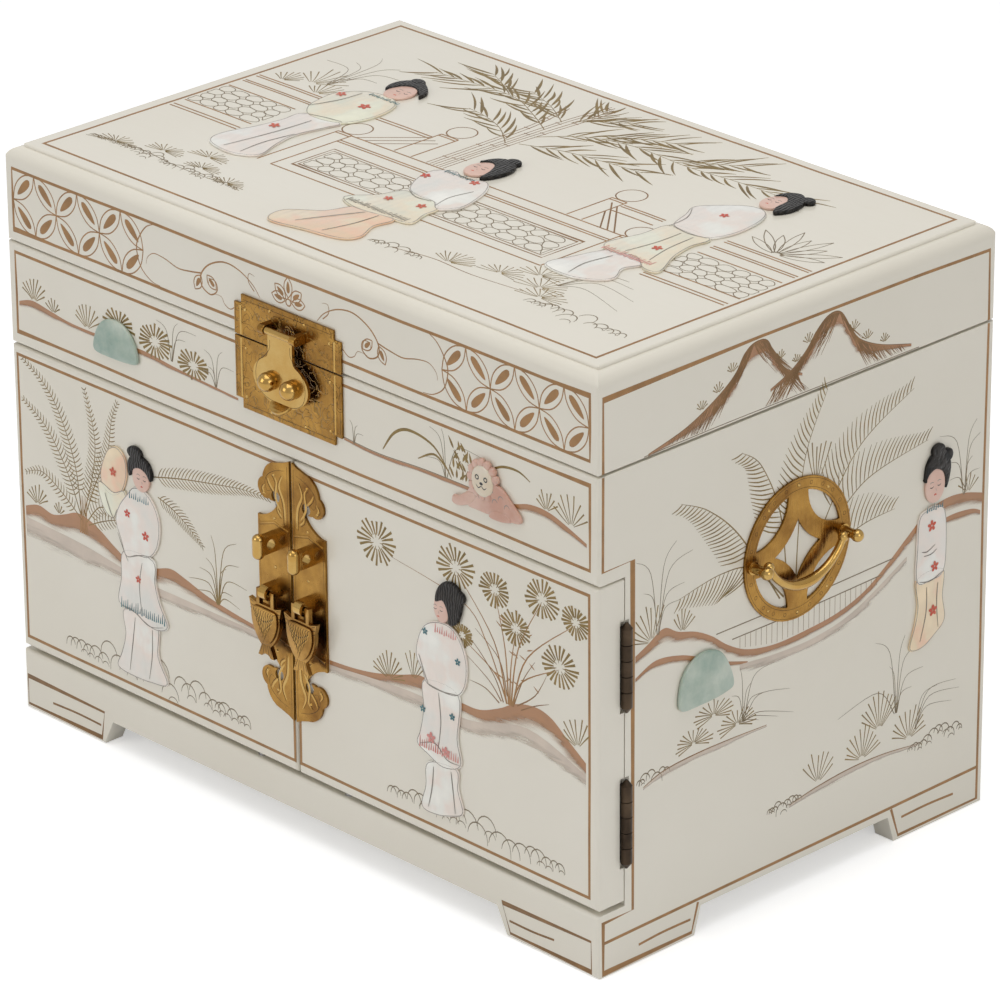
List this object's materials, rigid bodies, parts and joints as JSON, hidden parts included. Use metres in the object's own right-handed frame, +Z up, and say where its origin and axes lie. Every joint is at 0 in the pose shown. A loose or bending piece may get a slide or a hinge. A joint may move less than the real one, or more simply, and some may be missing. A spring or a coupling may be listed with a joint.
{
  "type": "musical jewellery box",
  "caption": "Lacquered jewellery casket with a lift-up mirrored lid, hinged cabinet doors, brass clasp, pulls and bail handles, and a wind-up movement that turns a small dancer.",
  "frame": {"origin": "on the table under the middle of the box", "axes": "+X is the right-hand side, -Y the front with the doors and the clasp, +Z up"},
  "size_m": [0.3308, 0.2218, 0.2302],
  "materials": {
    "lacquer": "off-white lacquer over wood",
    "inner_board": "satin lacquer over wood",
    "velvet": "red velvet on card",
    "sheet_brass": "polished sheet brass",
    "cast_brass": "polished cast brass",
    "dark_brass": "dark antique",
    "steel": "satin",
    "wheel_brass": "bright",
    "mirror": "silvered",
    "figure": "painted",
    "tutu": "tulle"
  },
  "bodies": {
    "case": {"side_panel_left": "lacquer", "side_panel_right": "lacquer", "base_rail": "lacquer", "fascia_board": "lacquer", "back_panel": "lacquer", "cabinet_floor": "inner_board", "tray_floor": "inner_board", "bay_partition": "inner_board", "cabinet_divider": "inner_board", "cabinet_shelf": "inner_board", "cabinet_lining": "velvet", "necklace_hooks": "cast_brass", "tray_lining": "velvet", "tray_dividers": "velvet", "ring_rolls": "velvet", "clasp_plate_lower": "sheet_brass", "lid_hinge_case_leaves": "sheet_brass", "lid_hinge_pins": "sheet_brass", "door_hinge_case_leaves": "dark_brass", "door_hinge_pins": "dark_brass", "door_magnets": "steel", "handle_plates": "sheet_brass", "handle_posts": "cast_brass", "movement_bedplate": "steel", "movement_bracket": "steel", "spring_barrel": "steel", "mainspring": "steel", "comb": "steel", "movement_screws": "steel"},
    "lid": {"lid_frame": "lacquer", "lid_top": "lacquer", "lid_mirror": "mirror", "lid_lining": "velvet", "lid_hinge_leaves": "sheet_brass", "clasp_plate_upper": "sheet_brass", "hasp_bracket": "sheet_brass"},
    "hasp": {"hasp_plate": "sheet_brass", "hasp_studs": "cast_brass"},
    "left_door": {"door_left": "lacquer", "door_plate_left": "sheet_brass", "door_staples_left": "cast_brass", "door_hinge_leaves_left": "dark_brass"},
    "right_door": {"door_right": "lacquer", "door_plate_right": "sheet_brass", "door_staples_right": "cast_brass", "door_hinge_leaves_right": "dark_brass"},
    "left_pull": {"fish_pull_left": "cast_brass"},
    "right_pull": {"fish_pull_right": "cast_brass"},
    "left_bail": {"handle_bail_left": "cast_brass"},
    "right_bail": {"handle_bail_right": "cast_brass"},
    "key": {"winding_key": "steel", "winding_arbor": "steel", "crown_wheel": "wheel_brass"},
    "cylinder": {"cylinder_arbor": "wheel_brass", "music_cylinder": "wheel_brass", "dancer_figure": "figure", "dancer_tutu": "tutu"},
    "idler": {"idler_arbor": "wheel_brass"},
    "fan": {"governor_fan": "wheel_brass"},
    "stop": {"stop_slider": "cast_brass"}
  },
  "joints": [
    {"name": "lid_hinge", "type": "hinge", "parent": "case", "child": "lid", "pos_m": [0, 0.1026, 0.192], "axis": [-1, 0, 0], "range_deg": [0, 100]},
    {"name": "hasp_hinge", "type": "hinge", "parent": "lid", "child": "hasp", "pos_m": [0, -0.105, 0.2006], "axis": [-1, 0, 0], "range_deg": [-3, 160]},
    {"name": "left_door_hinge", "type": "hinge", "parent": "case", "child": "left_door", "pos_m": [-0.156, -0.08725, 0.089], "axis": [0, 0, -1], "range_deg": [0, 175]},
    {"name": "right_door_hinge", "type": "hinge", "parent": "case", "child": "right_door", "pos_m": [0.156, -0.08725, 0.089], "axis": [0, 0, 1], "range_deg": [0, 175]},
    {"name": "left_pull_swing", "type": "hinge", "parent": "left_door", "child": "left_pull", "pos_m": [-0.0094, -0.1052, 0.0975], "axis": [-1, 0, 0], "range_deg": [-4, 90]},
    {"name": "right_pull_swing", "type": "hinge", "parent": "right_door", "child": "right_pull", "pos_m": [0.0094, -0.1052, 0.0975], "axis": [-1, 0, 0], "range_deg": [-4, 90]},
    {"name": "left_bail_swing", "type": "hinge", "parent": "case", "child": "left_bail", "pos_m": [-0.16, -0.002, 0.135], "axis": [0, 1, 0], "range_deg": [-5, 120]},
    {"name": "right_bail_swing", "type": "hinge", "parent": "case", "child": "right_bail", "pos_m": [0.16, -0.002, 0.135], "axis": [0, -1, 0], "range_deg": [-5, 120]},
    {"name": "cylinder_spin", "type": "hinge", "parent": "case", "child": "cylinder", "pos_m": [0, 0.0713, 0.13], "axis": [0, 0, 1], "continuous": true},
    {"name": "key_turn", "type": "hinge", "parent": "case", "child": "key", "pos_m": [0, 0.095, 0.112], "axis": [0, 1, 0], "continuous": true},
    {"name": "idler_spin", "type": "hinge", "parent": "case", "child": "idler", "pos_m": [0.0096, 0.0713, 0.143], "axis": [0, 0, 1], "continuous": true},
    {"name": "fan_spin", "type": "hinge", "parent": "case", "child": "fan", "pos_m": [0.0176, 0.0713, 0.14], "axis": [0, 0, 1], "continuous": true},
    {"name": "stop_slide", "type": "slide", "parent": "case", "child": "stop", "axis": [0, -1, 0], "range_m": [0, 0.003]}
  ],
  "couplings": [
    {"joint": "key_turn", "follows": "cylinder_spin", "ratio": -0.33333},
    {"joint": "idler_spin", "follows": "cylinder_spin", "ratio": -5},
    {"joint": "fan_spin", "follows": "cylinder_spin", "ratio": 20}
  ]
}
